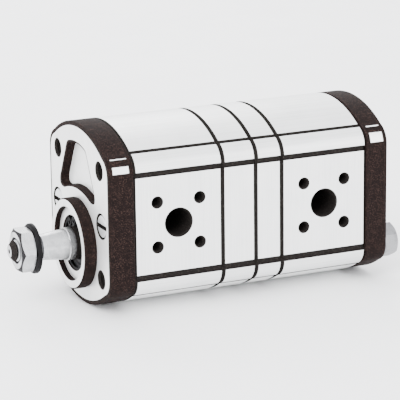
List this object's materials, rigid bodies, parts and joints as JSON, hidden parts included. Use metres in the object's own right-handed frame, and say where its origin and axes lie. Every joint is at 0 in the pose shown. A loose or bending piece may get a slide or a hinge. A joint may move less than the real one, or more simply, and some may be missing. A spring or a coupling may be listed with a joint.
{
  "type": "gear pump",
  "caption": "Tandem external gear pump: a tapered drive shaft and round pilot at the front, two gear stages in line, ports in both sides.",
  "frame": {"origin": "on the drive shaft's axis, in the plane of the mounting face of the front cover", "axes": "-X is the way the shaft end points, +X runs to the rear cover, +Z from the drive shaft to the driven gears, -Y is the pressure side"},
  "size_m": [0.2181, 0.086, 0.1],
  "materials": {
    "cast_iron": "rough sand-cast, dark, with machined faces",
    "body_aluminium": "extruded, pale, fine lines along its length",
    "block_alloy": "machined",
    "ground_steel": "ground and turned",
    "black_steel": "black oxide",
    "bronze": "bored",
    "seal_rubber": "moulded",
    "strip_plastic": "moulded"
  },
  "bodies": {
    "housing": {"dowel_1": "ground_steel", "dowel_2": "ground_steel", "dowel_3": "ground_steel", "dowel_4": "ground_steel", "dowel_5": "ground_steel", "dowel_6": "ground_steel", "dowel_7": "ground_steel", "dowel_8": "ground_steel", "front_backup_strip_a": "strip_plastic", "front_backup_strip_b": "strip_plastic", "front_bearing_block_a": "block_alloy", "front_bearing_block_b": "block_alloy", "front_body": "body_aluminium", "front_cover": "cast_iron", "front_drive_bush_a": "bronze", "front_drive_bush_b": "bronze", "front_driven_bush_a": "bronze", "front_driven_bush_b": "bronze", "front_middle_plate": "body_aluminium", "front_pressure_seal_a": "seal_rubber", "front_pressure_seal_b": "seal_rubber", "housing_seal_1": "seal_rubber", "housing_seal_2": "seal_rubber", "housing_seal_3": "seal_rubber", "housing_seal_4": "seal_rubber", "middle_plate_o_ring": "seal_rubber", "rear_backup_strip_a": "strip_plastic", "rear_backup_strip_b": "strip_plastic", "rear_bearing_block_a": "block_alloy", "rear_bearing_block_b": "block_alloy", "rear_body": "body_aluminium", "rear_cover": "cast_iron", "rear_drive_bush_a": "bronze", "rear_drive_bush_b": "bronze", "rear_driven_bush_a": "bronze", "rear_driven_bush_b": "bronze", "rear_middle_plate": "body_aluminium", "rear_pressure_seal_a": "seal_rubber", "rear_pressure_seal_b": "seal_rubber", "seal_circlip": "black_steel", "shaft_seal": "seal_rubber", "slotted_screw_1": "ground_steel", "slotted_screw_2": "ground_steel", "tie_bolt_1": "black_steel", "tie_bolt_2": "ground_steel", "tie_bolt_3": "black_steel", "tie_bolt_4": "ground_steel"},
    "front_drive": {"front_drive_shaft": "ground_steel", "woodruff_key": "ground_steel", "shaft_washer": "black_steel", "shaft_nut": "ground_steel"},
    "coupling": {"coupling": "black_steel"},
    "rear_drive": {"rear_drive_shaft": "ground_steel"},
    "front_driven": {"front_driven_gear": "ground_steel"},
    "rear_driven": {"rear_driven_gear": "ground_steel"}
  },
  "joints": [
    {"name": "drive_spin", "type": "hinge", "parent": "housing", "child": "front_drive", "pos_m": [0.04, 0, 0], "axis": [1, 0, 0], "continuous": true},
    {"name": "front_driven_spin", "type": "hinge", "parent": "housing", "child": "front_driven", "pos_m": [0.04, 0, 0.033], "axis": [1, 0, 0], "continuous": true},
    {"name": "coupling_spin", "type": "hinge", "parent": "housing", "child": "coupling", "pos_m": [0.084, 0, 0], "axis": [1, 0, 0], "continuous": true},
    {"name": "rear_drive_spin", "type": "hinge", "parent": "housing", "child": "rear_drive", "pos_m": [0.128, 0, 0], "axis": [1, 0, 0], "continuous": true},
    {"name": "rear_driven_spin", "type": "hinge", "parent": "housing", "child": "rear_driven", "pos_m": [0.128, 0, 0.033], "axis": [1, 0, 0], "continuous": true}
  ],
  "couplings": [
    {"joint": "front_driven_spin", "follows": "drive_spin", "ratio": -1},
    {"joint": "coupling_spin", "follows": "drive_spin", "ratio": 1},
    {"joint": "rear_drive_spin", "follows": "drive_spin", "ratio": 1},
    {"joint": "rear_driven_spin", "follows": "drive_spin", "ratio": -1}
  ]
}
